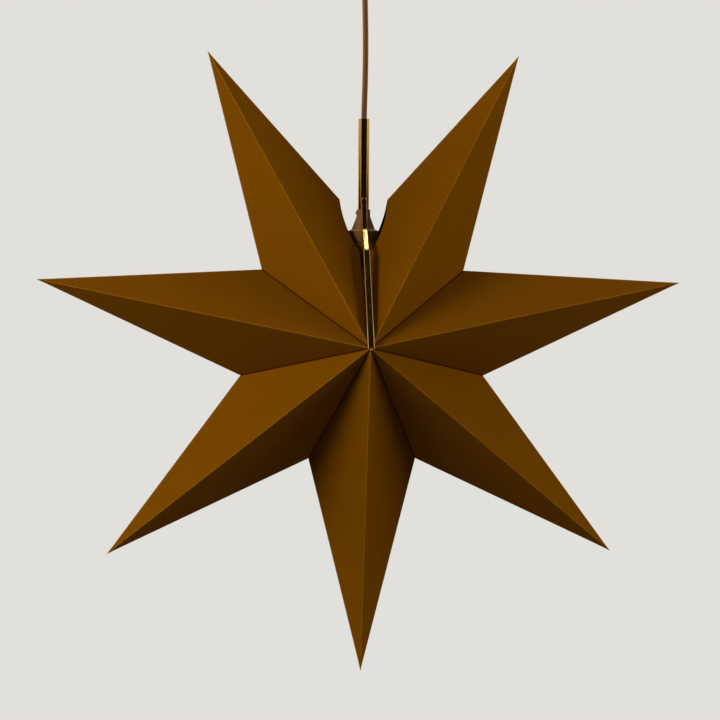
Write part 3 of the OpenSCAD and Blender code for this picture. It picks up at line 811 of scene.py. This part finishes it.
def buildRingTree():  # upright round ribs repeated round a cylinder
    tree = bpy.data.node_groups.new("gripRibs", "GeometryNodeTree")
    for label, kind in (("Count", "NodeSocketInt"), ("Radius", "NodeSocketFloat"), ("Bottom", "NodeSocketFloat"),
                        ("Top", "NodeSocketFloat"), ("Width", "NodeSocketFloat"), ("Finish", "NodeSocketMaterial")):
        tree.interface.new_socket(label, in_out="INPUT", socket_type=kind)
    tree.interface.new_socket("Ribs", in_out="OUTPUT", socket_type="NodeSocketGeometry")
    gin, gout = tree.nodes.new("NodeGroupInput"), tree.nodes.new("NodeGroupOutput")
    circle = addNode(tree, "GeometryNodeMeshCircle", {"Vertices": gin.outputs["Count"],
                                                      "Radius": gin.outputs["Radius"]})
    height = calc(tree, "SUBTRACT", gin.outputs["Top"], gin.outputs["Bottom"])
    rib = addNode(tree, "GeometryNodeMeshCylinder", {"Vertices": 8, "Radius": gin.outputs["Width"],
                                                     "Depth": height})
    middle = calc(tree, "MULTIPLY", calc(tree, "ADD", gin.outputs["Top"], gin.outputs["Bottom"]), 0.5)
    lifted = addNode(tree, "GeometryNodeTransform", {"Geometry": rib.outputs["Mesh"], "Translation": addNode(
        tree, "ShaderNodeCombineXYZ", {2: middle}).outputs[0]})
    spread = addNode(tree, "GeometryNodeInstanceOnPoints", {"Points": circle.outputs[0],
                                                            "Instance": lifted.outputs[0]})
    realized = addNode(tree, "GeometryNodeRealizeInstances", {0: spread.outputs[0]})
    painted = addNode(tree, "GeometryNodeSetMaterial", {"Geometry": realized.outputs[0],
                                                        "Material": gin.outputs["Finish"]})
    tree.links.new(painted.outputs[0], gout.inputs[0])
    return tree


makeHolder(holderLook)

bulbLook = {"radius": 22.5, "globe": 40.7, "capRadius": 6.9, "foot": 93.2, "capBottom": 69.2, "threads": 6}


def makeBulb(look):
    r, centre = look["radius"], look["globe"]
    lowest = math.asin(0.36)
    globe = [(r * math.cos(a), centre + r * math.sin(a))
             for a in (-math.pi / 2 + (math.pi - lowest - 0.35) * k / 40 for k in range(41))]
    neck = [(look["capRadius"] + 0.4, look["capBottom"] - 6), (look["capRadius"] - 0.6, look["capBottom"] + 1),
            (0, look["capBottom"] + 1)]
    profile = globe[:-1] + softCorners([globe[-1]] + neck[:2], 6.0, 6) + [neck[2]]
    glass = lathe("bulbGlobe", [(p[0], p[1]) for p in profile], 96, smooth=60.0)
    finishPiece(glass, frosted, ["bulb"])
    cap, low, high = look["capRadius"], look["capBottom"] + 1.2, look["foot"] - 4.5
    steps = 8 * look["threads"]
    thread = [(cap - 0.45 + 0.4 * math.cos(2 * math.pi * k / 8), low + 2 + (high - low - 2) * k / steps)
              for k in range(steps + 1)]
    outline = [(0, low - 1), (cap, low - 1), (cap, low + 1.2)] + thread
    outline += [(3.6, look["foot"] - 2.0), (2.7, look["foot"] - 0.4), (1.8, look["foot"]), (0, look["foot"])]
    screwCap = lathe("bulbCap", outline, 64, smooth=50.0)
    finishPiece(screwCap, brass)


makeBulb(bulbLook)
say("lampholder and bulb made")

# ceiling cup
cupLook = {"radius": 40.0, "wall": 1.2, "bottom": 342.0, "top": 372.0, "edge": 6.0, "bore": 5.0,
           "collar": 7.5, "collarBottom": 334.0, "gripBore": 2.75}


def makeCup(look):
    r, w, e, low = look["radius"], look["wall"], look["edge"], look["bottom"]
    outer = [(look["bore"], low), (r - e, low)]
    outer += [(r - e + e * math.sin(a), low + e - e * math.cos(a))
              for a in (math.pi / 2 * k / 10 for k in range(1, 11))]
    outer += [(r, look["top"] - 0.3), (r - 0.3, look["top"]), (r - w + 0.3, look["top"]),
              (r - w, look["top"] - 0.3)]
    e -= w
    inner = [(r - w - e + e * math.sin(a), low + w + e - e * math.cos(a))
             for a in (math.pi / 2 * (1 - k / 10) for k in range(11))]
    cup = lathe("ceilingCup", outer + inner + [(look["bore"], low + w)], 128, closed=True)
    finishPiece(cup, brass, ["ceiling_cup"])
    low, top, c, b = look["collarBottom"], look["bottom"], look["collar"], look["gripBore"]
    grip = [(b, low), (c - 2.5, low), (c, top - 2.0), (c, top), (look["bore"], top),
            (look["bore"], top + 7.2), (b, top + 7.2)]
    profile = softCorners(grip, 0.7, 4)
    collar = lathe("cordGrip", [(p.x, p.y) for p in profile], 64, closed=True)
    finishPiece(collar, brass, ["cord_grip"])


makeCup(cupLook)

nodeFinish = {
    "lamp_shell": brass, "centre_contact": brass, "terminal_block": cream, "side_screw": steel,
    "mounting_bar": steel, "cup_screws": brass, "grip_nut": steel, "connector_block": cream,
}
for nodeName, finish in nodeFinish.items():
    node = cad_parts[nodeName]
    node.data.materials.clear()
    node.data.materials.append(finish)
say("ceiling cup and fittings made")

# studio
studioLook = {
    "background": colour(226, 224, 219),
    "ambientAbove": 0.072,
    "ambientBelow": 0.0,
    "lampDistance": 2.0,
    "lamps": {  # azimuth and elevation in degrees, watts, width, and whether metal reflects it
        "leftFront": (-60, 30, 18.8, 0.8, False),
        "leftSide": (-88, 6, 17.5, 1.2, False),
        "rightSide": (80, 12, 21.5, 1.2, False),
        "top": (50, 83, 6.0, 0.7, True),
    },
    "floorDrop": 1.75,
    "floorRadius": 1.15,
}


def makeStudio(look):
    world = bpy.data.worlds.new("studio")
    bpy.context.scene.world = world
    world.use_nodes = True
    tree = world.node_tree
    shader = next(n for n in tree.nodes if n.type == "BACKGROUND")
    path = addNode(tree, "ShaderNodeLightPath")
    seen = calc(tree, "MAXIMUM", path.outputs["Is Camera Ray"],
                calc(tree, "MAXIMUM", path.outputs["Is Glossy Ray"], path.outputs["Is Transmission Ray"]))
    tree.links.new(mixColour(tree, seen, (1.0, 1.0, 1.0, 1.0), look["background"]), shader.inputs["Color"])
    way = addNode(tree, "ShaderNodeTexCoord").outputs["Generated"]
    rise = addNode(tree, "ShaderNodeSeparateXYZ", {0: way}).outputs[2]
    soft = ramp(tree, rise, -0.5, 0.7, look["ambientBelow"], look["ambientAbove"])
    tree.links.new(addNode(tree, "ShaderNodeMix", {0: seen, 2: soft, 3: 1.0}).outputs[0], shader.inputs["Strength"])
    for name, (azimuth, elevation, watts, width, reflected) in look["lamps"].items():
        az, el = math.radians(azimuth), math.radians(elevation)
        way = Vector((math.sin(az) * math.cos(el), -math.cos(az) * math.cos(el), math.sin(el)))
        light = bpy.data.objects.new(name + "Lamp", bpy.data.lights.new(name + "Lamp", "AREA"))
        light.data.energy = watts
        light.data.shape = "DISK"
        light.data.size = width
        light.visible_glossy = reflected
        light.location = starCentre + look["lampDistance"] * way
        light.rotation_mode = "QUATERNION"
        light.rotation_quaternion = (-way).to_track_quat("-Z", "Y")
        bpy.context.scene.collection.objects.link(light)
    reach = look["floorRadius"]
    floor = meshObject("studioFloor", [Vector((reach * math.cos(a), reach * math.sin(a), -look["floorDrop"]))
                                       for a in (2 * math.pi * k / 96 for k in range(96))], [tuple(range(96))])
    material, tree, shader, where = newMaterial("paleFloor")
    grain = useGroup(tree, grainGroup, Coordinate=where, Scale=60.0, Contrast=0.4)
    tree.links.new(mixColour(tree, grain["Mottle"], colour(216, 213, 207), colour(228, 226, 221)),
                   shader.inputs["Base Color"])
    shader.inputs["Roughness"].default_value = 0.8
    floor.data.materials.append(material)


drapeLook = {"reach": 3.0, "halfAngle": 62.0, "lowest": -35.0, "highest": 64.0, "columns": 24, "rows": 16}


def makeDrape(look):  # a dark drape behind the camera that only reflections see
    vertices = []
    for k in range(look["columns"] + 1):
        az = math.radians(look["halfAngle"] * (2 * k / look["columns"] - 1))
        for j in range(look["rows"] + 1):
            el = math.radians(look["lowest"] + (look["highest"] - look["lowest"]) * j / look["rows"])
            way = Vector((math.sin(az) * math.cos(el), -math.cos(az) * math.cos(el), math.sin(el)))
            vertices.append(starCentre + look["reach"] * way)
    step = look["rows"] + 1
    faces = [(k * step + j, (k + 1) * step + j, (k + 1) * step + j + 1, k * step + j + 1)
             for k in range(look["columns"]) for j in range(look["rows"])]
    drape = meshObject("darkDrape", vertices, faces)
    material, tree, shader, where = newMaterial("darkCloth")
    grain = useGroup(tree, grainGroup, Coordinate=where, Scale=300.0, Contrast=0.6)
    tree.links.new(mixColour(tree, grain["Mottle"], colour(24, 22, 20), colour(34, 31, 28)),
                   shader.inputs["Base Color"])
    shader.inputs["Roughness"].default_value = 0.9
    drape.data.materials.append(material)
    drape.visible_camera = False
    drape.visible_diffuse = False
    drape.visible_shadow = False


makeStudio(studioLook)
makeDrape(drapeLook)
bpy.context.scene.view_settings.view_transform = "Standard"
say("studio made")
